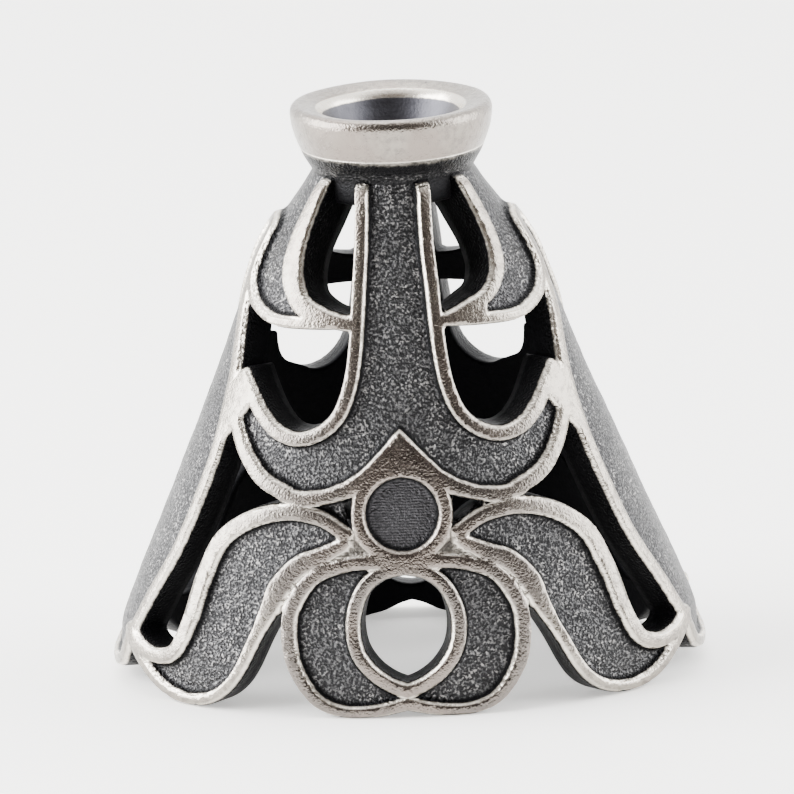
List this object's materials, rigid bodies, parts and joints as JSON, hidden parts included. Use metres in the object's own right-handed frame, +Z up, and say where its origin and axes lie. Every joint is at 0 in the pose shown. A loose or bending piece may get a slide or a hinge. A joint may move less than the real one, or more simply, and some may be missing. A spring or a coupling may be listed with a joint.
{
  "type": "pendant cap",
  "caption": "One-piece cast silver pendant cap: a pierced scrollwork cone with a flared collar and a cord hole, open at the mouth to take the end of a stone or tassel.",
  "frame": {"origin": "middle of the mouth, on the table the mouth's lobes stand on", "axes": "+Z up along the collar's axis, -Y towards the front with the round boss and the drop-shaped opening, +X to the front's right, across the wider way of the flattened cone"},
  "size_m": [0.0198, 0.0142, 0.0193],
  "materials": {
    "silver": "oxidised sterling silver, polished raised borders over dark stippled grounds"
  },
  "bodies": {
    "root": {"cap": "silver"}
  },
  "joints": []
}
